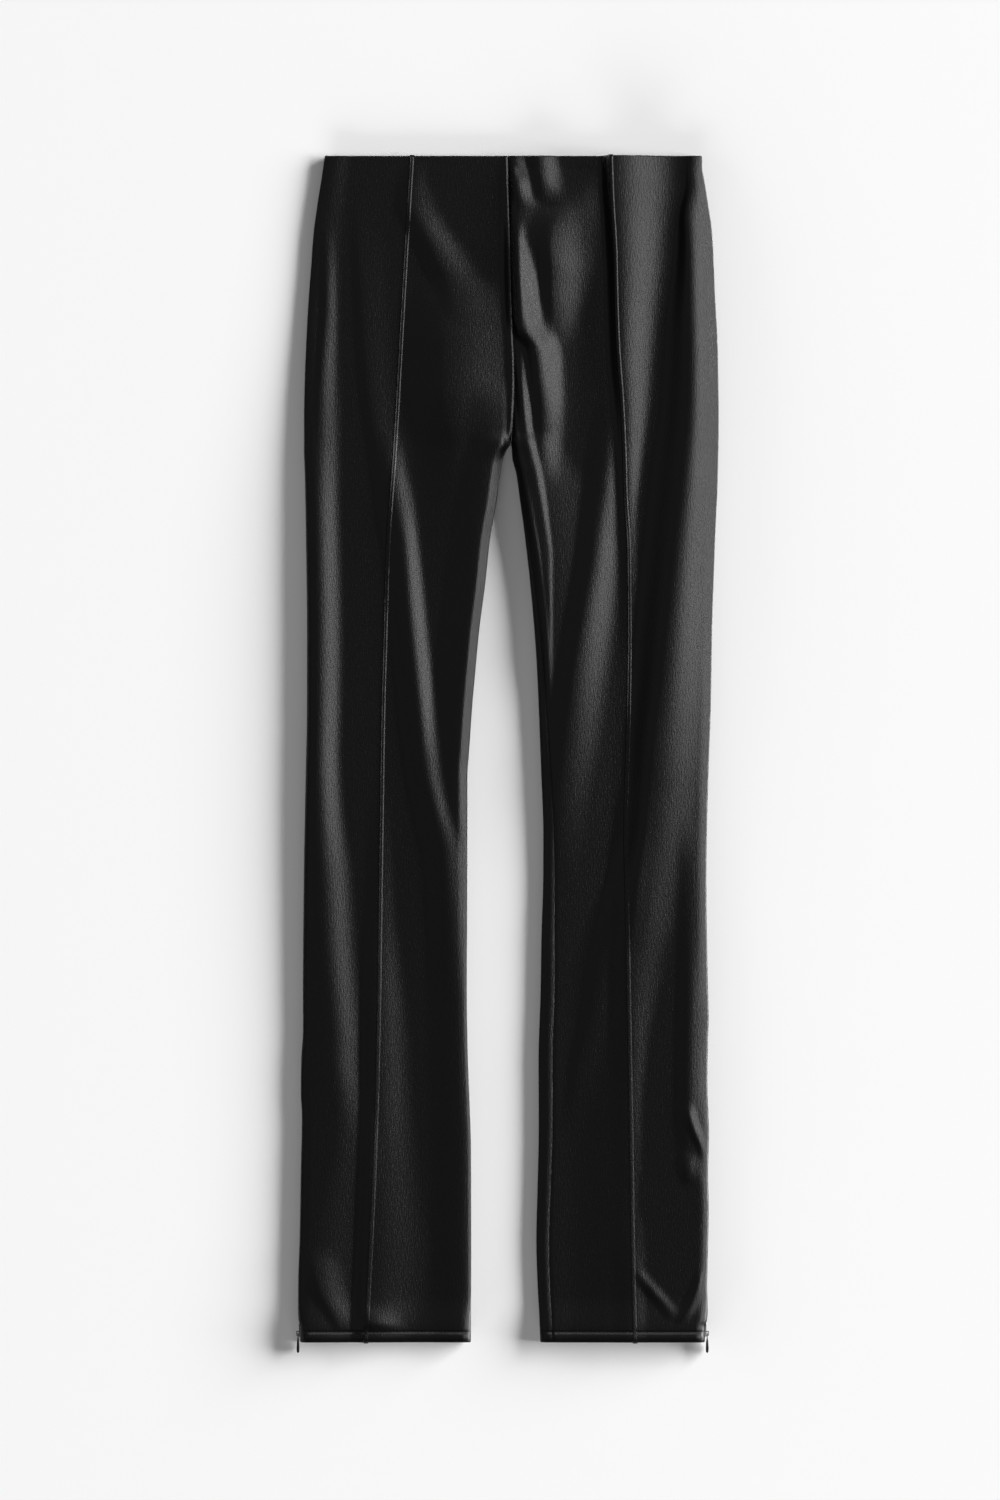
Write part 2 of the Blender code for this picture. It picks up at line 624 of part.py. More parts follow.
def make_pull(leg, metal):
    """A teardrop plate standing on edge, with its origin on the bar that it turns on."""
    pivot = point(outer_edge(leg, PIVOT_DOWN) - leg.inward * PULL_OUT, PIVOT_DOWN, SEAM_HEIGHT)
    rings = []
    for along, high, thick in PULL:
        flat = 0.55 * high
        corners = ((thick, flat), (0.6 * thick, high), (-0.6 * thick, high), (-thick, flat))
        ring = [*corners, *[(-x, -z) for x, z in corners]]
        rings.append([(x * MM, -along * MM, z * MM) for x, z in ring])
    pull = lofted(f"pull_{leg.name}", rings, metal)
    window = box(
        f"window_{leg.name}",
        (-2 * MM, -WINDOW_FOOT * MM, -WINDOW_HALF_HEIGHT * MM),
        (2 * MM, -PULL_BAR * MM, WINDOW_HALF_HEIGHT * MM),
        metal,
    )
    boolean(pull, window, "DIFFERENCE")
    window.parent = pull
    pull.location = pivot


for old in list(bpy.data.objects):
    bpy.data.objects.remove(old, do_unlink=True)

coated_cloth = material("coated cloth", (0.013, 0.013, 0.014), 0.42)
zip_tape = material("zip tape", (0.010, 0.010, 0.011), 0.8)
black_metal = material("black metal", (0.012, 0.012, 0.013), 0.35, 0.6)
for side in (RIGHT, LEFT):
    make_panels(side, coated_cloth)
    make_tuck(side, coated_cloth)
    make_zip(side, zip_tape)
    make_slider(side, black_metal)
    make_pull(side, black_metal)
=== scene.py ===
"""The coated leggings as they look: black coated stretch cloth, laid flat, front up.

Places on the cloth are in millimetres: `down` is the distance below the waist
edge, x is +X to the wearer's left and z is the height above the surface.
"""

from collections import namedtuple
from math import pi, radians

import bmesh
import bpy
import numpy as np
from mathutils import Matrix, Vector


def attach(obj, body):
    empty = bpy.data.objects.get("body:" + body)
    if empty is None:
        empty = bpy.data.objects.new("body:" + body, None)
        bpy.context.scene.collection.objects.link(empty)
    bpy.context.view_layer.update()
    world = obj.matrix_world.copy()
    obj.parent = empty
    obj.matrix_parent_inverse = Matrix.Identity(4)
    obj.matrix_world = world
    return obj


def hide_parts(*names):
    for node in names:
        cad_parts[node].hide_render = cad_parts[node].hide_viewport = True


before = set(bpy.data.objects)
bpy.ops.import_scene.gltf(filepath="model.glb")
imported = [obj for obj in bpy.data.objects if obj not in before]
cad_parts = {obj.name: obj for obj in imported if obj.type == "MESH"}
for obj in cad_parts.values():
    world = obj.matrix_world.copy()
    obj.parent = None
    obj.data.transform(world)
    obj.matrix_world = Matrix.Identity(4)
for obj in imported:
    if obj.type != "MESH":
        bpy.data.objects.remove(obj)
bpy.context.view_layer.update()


# The surface, the lamps and the camera. The garment lies on a matt white table
# and is seen from straight above through a long lens. A wide bank of lamps low to
# the right throws the soft shadows, and weak ones low to the left and beyond the
# hems fill them. Others, flagged off the table, light the cloth's edges and folds.
def new_object(name, mesh, *materials):
    made = bpy.data.objects.new(name, mesh)
    bpy.context.scene.collection.objects.link(made)
    for material in materials:
        mesh.materials.append(material)
    return made


def new_material(name, **sockets):
    """A Principled material whose named sockets are set to plain values."""
    material = bpy.data.materials.new(name)
    material.use_nodes = True
    shader = material.node_tree.nodes["Principled BSDF"]
    for socket, value in sockets.items():
        shader.inputs[socket.replace("_", " ")].default_value = value
    return material


def add_lamp(name, place, size, power, lights):
    """An area lamp aimed at the middle; `lights` is the collection it is kept to."""
    data = bpy.data.lights.new(name, "AREA")
    data.shape = "RECTANGLE"
    data.size, data.size_y = size
    data.energy = power
    lamp = bpy.data.objects.new(name, data)
    bpy.context.scene.collection.objects.link(lamp)
    lamp.location = place
    lamp.rotation_euler = (-Vector(place)).to_track_quat("-Z", "Y").to_euler()
    lamp.light_linking.receiver_collection = lights


TABLE_HALF_WIDTH = 6.0
bm = bmesh.new()
bmesh.ops.create_grid(bm, x_segments=1, y_segments=1, size=TABLE_HALF_WIDTH)
table_mesh = bpy.data.meshes.new("table")
bm.to_mesh(table_mesh)
bm.free()
table_white = new_material("table white", Base_Color=(0.86, 0.86, 0.86, 1), Roughness=0.9)
table = new_object("table", table_mesh, table_white)

on_table = bpy.data.collections.new("table only")
off_table = bpy.data.collections.new("all but the table")
for lit, state in ((on_table, "INCLUDE"), (off_table, "EXCLUDE")):
    lit.objects.link(table)
    lit.collection_objects[0].light_linking.link_state = state
LOW_BANK = (38.0, 9.5, 6.9), (38.0, 9.4)  # its place and its size
add_lamp("low", *LOW_BANK, 85000, on_table)
add_lamp("low left", (-39.6, -3.0, 4.2), (52.0, 6.0), 10000, on_table)
add_lamp("low foot", (-8.0, -38.9, 4.2), (46.0, 6.0), 31000, on_table)
add_lamp("edges", *LOW_BANK, 26000, off_table)
add_lamp("key", (8.86, 1.56, 10.72), (8.8, 3.5), 640, off_table)
add_lamp("left fill", (-5.7, 0.5, 8.2), (10.0, 8.0), 30, off_table)
add_lamp("upper", (2.06, 9.68, 9.9), (8.0, 3.0), 240, off_table)
world = bpy.data.worlds.new("studio")
world.use_nodes = True
sky = world.node_tree.nodes["Background"]
sky.inputs["Color"].default_value = (1, 1, 1, 1)
sky.inputs["Strength"].default_value = 0.04
bpy.context.scene.view_settings.view_transform = "Standard"
bpy.context.scene.world = world

VIEW_HEIGHT = 1.328  # of what the picture shows, in metres
VIEW_MIDDLE = (-0.0071, 0.0033)
CAMERA_HEIGHT = 7.0
camera_data = bpy.data.cameras.new("camera")
camera_data.sensor_fit = "VERTICAL"
camera_data.sensor_height = 24.0
camera_data.lens = camera_data.sensor_height * CAMERA_HEIGHT / VIEW_HEIGHT
camera_data.clip_end = 50.0
camera = bpy.data.objects.new("camera", camera_data)
camera.location = (*VIEW_MIDDLE, CAMERA_HEIGHT)
bpy.context.scene.collection.objects.link(camera)
bpy.context.scene.camera = camera


# Back panels. Black knit with a polyurethane coat, cut in two halves and joined
# at the centre back. They lie flat on the table, and their edges roll up to the
# side seams and inseams. The left inseam has turned a little onto the front.
MM = 0.001
SIDE_LENGTH = 1050.0
CROTCH = 256.0
WAIST_Y = 529.2
SEAM_GAP = 0.3
SEAM_HEIGHT = 3.4
ROLL_WIDTH = 9.0
LEFT_INSEAM_ROLL = 14.0
CROTCH_BLEND = 14.0
LAYERS = 2.4  # the front lies over this much cloth, and twice that at the hem
LOFT = 0.9
HEM_DEPTH, HEM_RISE = 11.0, 30.0
HEM_BULGE, STITCH_SINK = 1.0, 0.45
STITCH_DOWN = 1040.7  # the row that holds the turned-up hem
SEAM_DIP, SEAM_DIP_WIDTH = 0.8, 1.3
SEAM_REACH = 4.5  # how far from the centre seam one half eases to the other's height
CLOTH_THICKNESS = 0.8
FOLD_RADIUS = 0.95  # of the turned edges
TURN_IN = 6.0  # of the waist edge
WAIST_ROWS = (1.5, 45.0, 1.5)  # from, to and step of the fine rows at the waist
HEM_ROWS = (1032.0, 1048.8, 0.7)
TURN_STEPS = 7
OUTER_ROLL_STEPS, INNER_ROLL_STEPS, FLAT_STEPS = 12, 16, 20
MOST_INSET = 0.93  # of the inner roll's width
BACK_ROW_STEP, FRONT_ROW_STEP = 5.0, 3.2

Leg = namedtuple("Leg", "name inward outer tuck inner inset inner_roll outer_rise inner_rise folds")

CENTRE_SEAM = ((0, 0.0), (20, 0.4), (70, 1.6), (130, 3.0), (200, 5.6), (235, 4.3), (CROTCH, 2.5))
RIGHT_OUTER = (
    (0, -162.0), (8, -163.3), (20, -165.0), (40, -168.2), (70, -172.2), (100, -174.4), (130, -176.7),
    (170, -178.8), (200, -180.0), (235, -180.6), (260, -180.6), (280, -179.9), (340, -178.8),
    (420, -177.9), (490, -178.0), (560, -179.3), (640, -180.7), (740, -181.5), (774, -181.4),
    (800, -183.0), (830, -183.4), (850, -182.4), (900, -183.4), (950, -184.2), (1000, -185.7),
    (1022, -185.8), (1030, -185.4), (1036, -183.9), (SIDE_LENGTH, -183.8),
)
LEFT_OUTER = (
    (0, 171.7), (12, 171.9), (20, 173.4), (40, 176.6), (70, 180.8), (100, 182.3), (130, 183.6),
    (155, 185.0), (180, 185.9), (235, 186.5), (280, 185.8), (340, 183.3), (420, 180.6),
    (490, 179.4), (540, 177.6), (580, 176.4), (640, 175.5), (700, 176.2), (748, 177.2),
    (762, 177.6), (780, 177.0), (820, 176.4), (865, 177.9), (900, 177.0), (930, 177.6),
    (970, 176.9), (1000, 176.2), (1022, 176.6), (1030, 176.2), (1036, 174.4), (SIDE_LENGTH, 174.2),
)
RIGHT_INNER = (
    (CROTCH, 2.5), (261, -1.2), (270, -4.6), (280, -6.4), (305, -9.9), (340, -15.9), (380, -20.2),
    (420, -25.4), (455, -28.7), (490, -31.8), (520, -33.8), (550, -35.8), (640, -35.9),
    (740, -36.3), (790, -35.6), (830, -34.2), (880, -32.6), (970, -32.4), (SIDE_LENGTH, -32.8),
)
LEFT_INNER = (
    (CROTCH, 2.5), (260, 3.1), (268, 3.6), (280, 6.8), (305, 10.4), (340, 15.1), (380, 19.5),
    (420, 23.1), (455, 25.4), (490, 27.0), (550, 29.3), (600, 31.0), (640, 30.9), (690, 29.4),
    (740, 28.6), (800, 26.8), (860, 27.0), (910, 26.0), (960, 24.8), (1000, 26.0), (1025, 27.4),
    (SIDE_LENGTH, 28.3),
)
RIGHT_TUCK = (
    (0, -85.0), (40, -87.5), (100, -91.1), (170, -95.1), (235, -98.7), (290, -102.3), (330, -105.4),
    (365, -107.0), (420, -108.5), (490, -110.5), (640, -112.7), (740, -114.0), (820, -115.6),
    (900, -118.3), (970, -121.5), (1022, -124.2), (SIDE_LENGTH, -125.7),
)
LEFT_TUCK = (
    (0, 90.7), (40, 92.1), (85, 94.7), (130, 95.7), (170, 97.3), (215, 100.6), (260, 102.8),
    (300, 104.0), (350, 107.0), (420, 107.6), (490, 106.7), (600, 104.0), (650, 104.8),
    (720, 106.4), (820, 108.2), (900, 109.5), (970, 110.5), (1022, 111.7), (SIDE_LENGTH, 112.4),
)
RIGHT_INSET = ((CROTCH, 0.0), (SIDE_LENGTH, 0.0))
LEFT_INSET = (
    (CROTCH, 0.0), (280, 0.6), (340, 2.2), (420, 4.3), (490, 6.3), (560, 8.2), (640, 10.2),
    (740, 12.4), (820, 12.4), (900, 11.8), (970, 11.2), (SIDE_LENGTH, 10.6),
)

# How the cloth rises along an edge: its height at the edge, the distance in to
# the crest, the crest's height and the width of the slope beyond it.
Rise = namedtuple("Rise", "down rim crest height fall")
RIGHT_OUTER_RISE = (
    Rise(0, 1.0, 9, 1.0, 16), Rise(60, 0.9, 9, 0.9, 18), Rise(120, 1.2, 12, 0.9, 18),
    Rise(171, 2.2, 12, 1.6, 20), Rise(200, 2.8, 12, 2.3, 22), Rise(250, 3.6, 11, 3.5, 24),
    Rise(310, 4.2, 9, 4.5, 24),
    Rise(430, 4.6, 9, 5.0, 25), Rise(520, 4.6, 9, 5.0, 24), Rise(580, 4.2, 11, 5.0, 26),
    Rise(640, 3.8, 15, 5.0, 31), Rise(700, 3.5, 19, 4.9, 31), Rise(760, 3.4, 24, 4.7, 31),
    Rise(800, 3.4, 27, 4.4, 31), Rise(840, 3.4, 30, 4.0, 36), Rise(880, 3.5, 26, 3.8, 48),
    Rise(950, 3.6, 12, 3.6, 56), Rise(SIDE_LENGTH, 3.6, 10, 3.6, 56),
)
LEFT_OUTER_RISE = (
    Rise(0, 1.6, 9, 2.0, 6), Rise(24, 1.6, 12, 3.0, 7), Rise(60, 1.4, 21, 6.6, 10),
    Rise(100, 1.4, 22, 7.8, 15), Rise(160, 1.4, 24, 8.6, 24), Rise(225, 1.4, 26, 9.2, 28),
    Rise(280, 1.4, 30, 9.8, 32), Rise(340, 1.5, 34, 10.2, 32), Rise(400, 1.6, 38, 10.8, 32),
    Rise(460, 1.8, 43, 11.0, 30), Rise(520, 2.0, 49, 10.6, 28), Rise(560, 2.3, 51, 9.6, 26),
    Rise(600, 2.5, 54, 7.8, 24), Rise(640, 2.7, 60, 5.4, 30), Rise(680, 2.9, 65, 4.1, 45),
    Rise(720, 3.0, 68, 3.5, 55), Rise(760, 3.1, 68, 3.3, 60), Rise(840, 3.2, 68, 3.3, 60),
    Rise(SIDE_LENGTH, 3.4, 66, 3.5, 60),
)
RIGHT_INNER_RISE = (
    Rise(CROTCH, 0.8, 9, 3.4, 30), Rise(400, 0.8, 9, 3.6, 30), Rise(520, 0.8, 9, 3.2, 30),
    Rise(580, 0.9, 9, 2.6, 30), Rise(650, 1.4, 9, 1.9, 30), Rise(SIDE_LENGTH, 1.6, 9, 1.6, 30),
)
LEFT_INNER_RISE = (
    Rise(CROTCH, 3.2, 8, 3.2, 40), Rise(310, 4.8, 8, 4.8, 70), Rise(400, 4.8, 8, 4.8, 80),
    Rise(520, 3.8, 9, 3.8, 80), Rise(640, 2.6, 10, 2.6, 80), Rise(SIDE_LENGTH, 2.0, 12, 2.0, 80),
)

# Each fold is a soft ridge: the width of its left slope, and from top to bottom
# the place of its crest, the width of its right slope and its height.
Fold = namedtuple("Fold", "left crest")
Crest = namedtuple("Crest", "down x right height")
RIGHT_FOLDS = (
    # drag line from the tuck to the centre seam
    Fold(16, (
        Crest(4, -80, 12, 0.0), Crest(20, -83, 14, 0.8), Crest(40, -86, 25, 1.8),
        Crest(60, -79, 28, 2.9), Crest(80, -69, 32, 3.5), Crest(100, -60, 36, 3.3),
        Crest(122, -50, 42, 1.6), Crest(150, -44, 42, 0.0),
    )),
    # slope of the belly into the centre seam
    Fold(40, (
        Crest(108, -48, 56, 0.0), Crest(140, -54, 80, 5.2), Crest(165, -56, 86, 7.4),
        Crest(205, -56, 82, 7.8), Crest(235, -52, 70, 5.8), Crest(262, -46, 48, 3.0),
        Crest(330, -44, 30, 0.9), Crest(400, -46, 24, 0.0),
    )),
    # from the tuck down the inner thigh to the knee
    Fold(20, (
        Crest(240, -104, 14, 0.0), Crest(275, -102, 16, 1.8), Crest(310, -98, 19, 3.1),
        Crest(340, -94, 18, 3.8), Crest(400, -89, 19, 4.4), Crest(460, -83, 19, 4.4),
        Crest(517, -77, 20, 4.5), Crest(550, -73, 19, 4.4), Crest(575, -68, 18, 4.1),
        Crest(620, -60, 22, 2.8), Crest(670, -56, 22, 1.8), Crest(750, -53, 18, 0.0),
    )),
    # beside the tuck down the calf
    Fold(14, (
        Crest(560, -112, 10, 0.0), Crest(610, -113, 12, 0.6), Crest(680, -116, 20, 1.7),
        Crest(720, -117, 26, 2.7), Crest(760, -118, 32, 3.5), Crest(840, -119, 38, 3.9),
        Crest(900, -121, 46, 4.0), Crest(990, -124, 58, 4.3), Crest(1024, -126, 52, 4.6),
        Crest(1048, -126, 44, 3.0),
    )),
    # outer ankle
    Fold(10, (
        Crest(965, -174, 26, 0.0), Crest(988, -171, 28, 1.6), Crest(1010, -164, 28, 1.7),
        Crest(1025, -154, 24, 1.4), Crest(1042, -146, 20, 0.0),
    )),
    # arch over the hem
    Fold(8, (
        Crest(1018, -123, 26, 0.0), Crest(1032, -122, 32, 1.8), Crest(1040, -120, 34, 0.4),
        Crest(1044, -120, 34, 0.0),
    )),
    # long crease of the outer thigh
    Fold(9, (
        Crest(40, -134, 26, 0.0), Crest(120, -130, 28, 0.9), Crest(200, -125, 28, 1.3),
        Crest(250, -118, 26, 1.5), Crest(290, -112, 22, 1.4), Crest(345, -108, 18, 0.0),
    )),
    # rim along the foot of the centre seam
    Fold(34, (
        Crest(196, -6, 11, 0.0), Crest(222, -5, 10, 1.6), Crest(242, -6, 10, 2.2),
        Crest(256, -8, 10, 1.4), Crest(270, -13, 9, 0.0),
    )),
    # below the waist, along the outer edge
    Fold(6, (
        Crest(60, -161, 11, 0.0), Crest(92, -161, 11, 0.7), Crest(127, -161, 12, 1.2),
        Crest(171, -164, 15, 1.2), Crest(216, -167, 16, 0.6), Crest(250, -168, 16, 0.0),
    )),
)
LEFT_FOLDS = (
    # slope outside the tuck, widest at the waist
    Fold(10, (
        Crest(-40, 91.5, 58, 10.0), Crest(24, 91.5, 60, 10.4), Crest(60, 94, 53, 9.8),
        Crest(100, 96, 47, 9.0), Crest(140, 97, 40, 7.9), Crest(180, 98.5, 34, 6.8),
        Crest(225, 102, 26, 5.2), Crest(280, 104, 16, 3.2), Crest(320, 105, 11, 1.7),
        Crest(400, 107, 9, 0.5), Crest(460, 107, 8, 0.0),
    )),
    # crease from the centre seam towards the knee
    Fold(13, (
        Crest(56, 3, 14, 0.0), Crest(76, 4, 16, 3.4), Crest(92, 5, 19, 5.4),
        Crest(108, 5, 23, 6.8), Crest(124, 6, 27, 7.6), Crest(140, 7, 31, 7.9),
        Crest(155, 13, 30, 7.0),
        Crest(171, 24, 26, 5.8), Crest(200, 28, 24, 4.5), Crest(225, 31, 22, 3.1),
        Crest(250, 32, 20, 1.9), Crest(290, 33, 14, 0.0),
    )),
    # the belly falls away from the centre seam
    Fold(5, (
        Crest(10, 3, 60, 1.0), Crest(30, 3, 60, 4.4), Crest(60, 3, 64, 6.0), Crest(80, 3, 64, 5.4),
        Crest(120, 4, 66, 4.6), Crest(160, 4, 64, 4.4), Crest(200, 4, 62, 4.4), Crest(240, 4, 60, 3.8),
        Crest(270, 8, 56, 1.6), Crest(300, 12, 50, 0.0),
    )),
    # soft fold of the belly
    Fold(28, (
        Crest(12, 62, 28, 0.0), Crest(36, 56, 34, 2.2), Crest(60, 44, 44, 3.8),
        Crest(80, 38, 46, 2.6), Crest(100, 38, 42, 0.8), Crest(114, 38, 38, 0.0),
    )),
    Fold(13, (
        Crest(60, 42, 44, 0.0), Crest(80, 38, 46, 2.2), Crest(100, 39, 42, 4.3),
        Crest(120, 39, 36, 4.0), Crest(142, 40, 28, 2.4), Crest(172, 42, 20, 0.0),
    )),
    # two narrow creases running down from the crotch, and the facet between them
    Fold(8, (
        Crest(140, 0, 12, 0.0), Crest(160, 1, 14, 1.9), Crest(171, 3, 14, 2.4),
        Crest(200, 10, 10, 2.2), Crest(222, 14, 8, 1.9), Crest(240, 16.5, 7, 1.8),
        Crest(260, 20.5, 6.5, 1.6), Crest(287, 26.5, 6, 1.4), Crest(322, 32, 5, 1.1),
        Crest(358, 36, 4.5, 0.8), Crest(428, 36.5, 4, 0.7), Crest(480, 37, 4, 0.0),
    )),
    Fold(5, (
        Crest(196, 0, 6, 0.0), Crest(216, 2.2, 5, 1.0), Crest(251, 5.8, 5, 1.2),
        Crest(287, 12.6, 5, 1.2), Crest(322, 19.5, 5, 1.1), Crest(366, 27, 4.5, 0.9),
        Crest(428, 33.5, 4, 0.7), Crest(492, 36, 4, 0.0),
    )),
    Fold(5, (
        Crest(200, 3, 16, 0.0), Crest(225, 7, 16, 1.6), Crest(251, 9, 16, 2.0),
        Crest(287, 16, 14, 1.8), Crest(322, 22, 12, 1.4), Crest(366, 29, 9, 0.7),
        Crest(400, 31, 8, 0.0),
    )),
    # broad fold between them and the tuck
    Fold(20, (
        Crest(215, 92, 10, 0.0), Crest(260, 87, 15, 1.8), Crest(304, 82, 20, 3.4),
        Crest(330, 79, 23, 3.9), Crest(357, 76, 26, 4.3), Crest(400, 69, 30, 4.3),
        Crest(430, 64, 32, 3.9), Crest(463, 59, 33, 3.3), Crest(490, 56, 33, 2.7),
        Crest(517, 53, 32, 2.2), Crest(550, 49, 29, 1.6), Crest(580, 46, 27, 1.0),
        Crest(640, 44, 22, 0.0),
    )),
    # outer side of the knee, running in to the tuck
    Fold(20, (
        Crest(560, 128, 40, 0.0), Crest(600, 122, 44, 1.7), Crest(640, 117, 40, 3.1),
        Crest(680, 113, 38, 3.3), Crest(720, 107, 34, 2.9), Crest(760, 107, 25, 2.4),
        Crest(800, 108, 17, 1.6), Crest(840, 108, 13, 1.1), Crest(890, 109, 11, 0.7),
        Crest(925, 109, 8, 0.4), Crest(960, 109, 15, 0.9), Crest(990, 110, 14, 1.3),
        Crest(1030, 111, 14, 1.0), Crest(1048, 111, 12, 0.6),
    )),
    # along the outer edge from the knee to the calf
    Fold(14, (
        Crest(580, 162, 14, 0.0), Crest(620, 161, 14, 0.5), Crest(680, 161, 14, 0.9),
        Crest(760, 160, 15, 1.9), Crest(840, 159, 15, 1.9), Crest(880, 160, 15, 0.6),
        Crest(900, 161, 14, 0.0),
    )),
    # inner side of the knee
    Fold(12, (
        Crest(545, 108, 20, 0.0), Crest(610, 101, 28, 1.3), Crest(640, 97, 30, 1.5),
        Crest(680, 89, 30, 1.5), Crest(720, 79, 28, 1.4), Crest(760, 73, 26, 1.2),
        Crest(800, 64, 24, 0.9), Crest(870, 54, 20, 0.0),
    )),
    # puckers of the outer ankle
    Fold(6, (
        Crest(838, 158, 8, 0.0), Crest(850, 160, 9, 1.3), Crest(866, 166, 8, 1.3),
        Crest(880, 172, 5, 0.6), Crest(888, 174, 4, 0.0),
    )),
    Fold(8, (Crest(880, 157, 14, 0.0), Crest(894, 157, 16, 1.8), Crest(912, 160, 14, 0.0))),
    Fold(8, (
        Crest(985, 116, 8, 0.0), Crest(995, 120, 10, 1.2), Crest(1008, 130, 12, 1.6),
        Crest(1020, 140, 12, 1.2), Crest(1030, 146, 10, 0.0),
    )),
    Fold(7, (
        Crest(985, 172, 5, 0.0), Crest(1000, 168, 7, 1.2), Crest(1012, 163, 9, 1.7),
        Crest(1024, 157, 10, 1.2), Crest(1034, 151, 8, 0.0),
    )),
    # puckers under the waist edge
    Fold(9, (
        Crest(2, 4, 14, 1.4), Crest(20, 6, 17, 3.2), Crest(34, 8, 17, 2.2), Crest(48, 12, 16, 0.0),
    )),
    Fold(12, (
        Crest(-6, 26, 18, 2.2), Crest(12, 28, 21, 3.6), Crest(26, 31, 21, 2.8),
        Crest(44, 34, 18, 0.0),
    )),
)
RIGHT = Leg(
    "right", 1, RIGHT_OUTER, RIGHT_TUCK, RIGHT_INNER, RIGHT_INSET, ROLL_WIDTH,
    RIGHT_OUTER_RISE, RIGHT_INNER_RISE, RIGHT_FOLDS,
)
LEFT = Leg(
    "left", -1, LEFT_OUTER, LEFT_TUCK, LEFT_INNER, LEFT_INSET, LEFT_INSEAM_ROLL,
    LEFT_OUTER_RISE, LEFT_INNER_RISE, LEFT_FOLDS,
)


def smoothstep(t):
    t = np.clip(t, 0, 1)
    return t * t * (3 - 2 * t)


def through(points, at):
    """A monotone cubic through (place, value) points, read at every place in `at`."""
    place, value = np.array(points, float).T
    slope = np.diff(value) / np.diff(place)
    product, total = slope[1:] * slope[:-1], slope[1:] + slope[:-1]
    turning = np.where(product > 0, 2 * product / np.where(product > 0, total, 1), 0)
    tangent = np.concatenate([slope[:1], turning, slope[-1:]])
    i = np.clip(np.searchsorted(place, at) - 1, 0, len(slope) - 1)
    step = place[i + 1] - place[i]
    t = np.clip((at - place[i]) / step, 0, 1)
    rest = 1 - t
    start = value[i] * (1 + 2 * t) * rest**2 + tangent[i] * step * t * rest**2
    return start + value[i + 1] * t**2 * (3 - 2 * t) - tangent[i + 1] * step * t**2 * rest


def inner_edge(leg, down):
    seam = np.where(down < CROTCH, through(CENTRE_SEAM, down), through(leg.inner, down))
    return seam - leg.inward * SEAM_GAP / 2


def parted(down):
    """0 where the halves meet at the centre seam, 1 where the legs are apart."""
    return smoothstep((down - CROTCH + CROTCH_BLEND) / CROTCH_BLEND)


def column(rows, name, down):
    return through([(row.down, getattr(row, name)) for row in rows], down)


def fold_height(fold, x, down):
    across = x - column(fold.crest, "x", down)
    width = np.where(across > 0, column(fold.crest, "right", down), fold.left)
    share = np.minimum(np.abs(across) / width, 1)
    return column(fold.crest, "height", down) * np.cos(share * pi / 2) ** 2


def edge_height(rise, distance, down):
    rim, crest, top, fall = (column(rise, name, down) for name in ("rim", "crest", "height", "fall"))
    turn = np.clip(distance / crest, 0, 1) * pi / 2
    climb = rim + (top - rim) * (np.sin(turn) + np.sin(turn) ** 2) / 2
    return np.where(
        distance < crest, climb, top * np.cos(np.clip((distance - crest) / fall, 0, 1) * pi / 2) ** 2
    )


def hem_relief(down):
    """The stitch row draws the hem in, and the band below it stands a little full."""
    band = np.sin(np.clip((down - STITCH_DOWN) / (SIDE_LENGTH - STITCH_DOWN), 0, 1) * pi)
    return HEM_BULGE * band - STITCH_SINK * np.exp(-((down - STITCH_DOWN) ** 2))


def height(leg, x, down):
    """How high the front lies, before its edges round over."""
    over_hem = smoothstep(1 - (SIDE_LENGTH - HEM_DEPTH - down) / HEM_RISE)
    z = LAYERS * (1 + over_hem) + LOFT
    z = z + edge_height(leg.outer_rise, np.abs(x - through(leg.outer, down)), down)
    z = z + parted(down) * edge_height(leg.inner_rise, np.abs(x - inner_edge(leg, down)), down)
    for fold in leg.folds:
        z = z + fold_height(fold, x, down)
    return z + hem_relief(down)


def joined_height(leg, x, down):
    """The height with both halves brought level where the centre seam joins them."""
    seam = inner_edge(leg, down)
    halves = [height(half, inner_edge(half, down), down) for half in (RIGHT, LEFT)]
    step = sum(halves) / 2 - halves[leg is LEFT]
    share = np.exp(-(((x - seam) / SEAM_REACH) ** 2)) * (1 - parted(down))
    return height(leg, x, down) + step * share


def lean(leg, x, down):
    """How far the cloth leans over at an edge, 1 for upright, and which way is in."""
    from_outer = 1 - np.abs(x - through(leg.outer, down)) / ROLL_WIDTH
    from_inner = 1 - np.abs(x - inner_edge(leg, down)) / leg.inner_roll
    at_outer = from_outer > 0
    leaning = np.where(at_outer, from_outer, parted(down) * np.clip(from_inner, 0, 1))
    return np.clip(leaning, 0, 1), np.where(at_outer, leg.inward, -leg.inward)


def upper_layer(leg, x, down, depth):
    """x, z of the front layer, `depth` below its face, drawn in along its seam."""
    leaning, way = lean(leg, x, down)
    rise = np.sqrt(1 - leaning**2)
    seam = inner_edge(leg, down) - leg.inward * leg.inner_roll * (1 - np.cos(seam_turn(leg, down)))
    dip = SEAM_DIP * np.exp(-(((x - seam) / SEAM_DIP_WIDTH) ** 2))
    z = SEAM_HEIGHT + (joined_height(leg, x, down) - dip - SEAM_HEIGHT) * rise
    return x + way * depth * leaning, z - depth * rise


def lower_layer(leg, x, down, depth):
    leaning, way = lean(leg, x, down)
    rise = np.sqrt(1 - leaning**2)
    return x + way * depth * leaning, SEAM_HEIGHT * (1 - rise) + depth * rise


def seam_turn(leg, down):
    """The angle round the inner roll at which the inseam lies, 0 at the silhouette."""
    share = np.minimum(through(leg.inset, down) / leg.inner_roll, MOST_INSET)
    return np.arccos(1 - share) * parted(down)


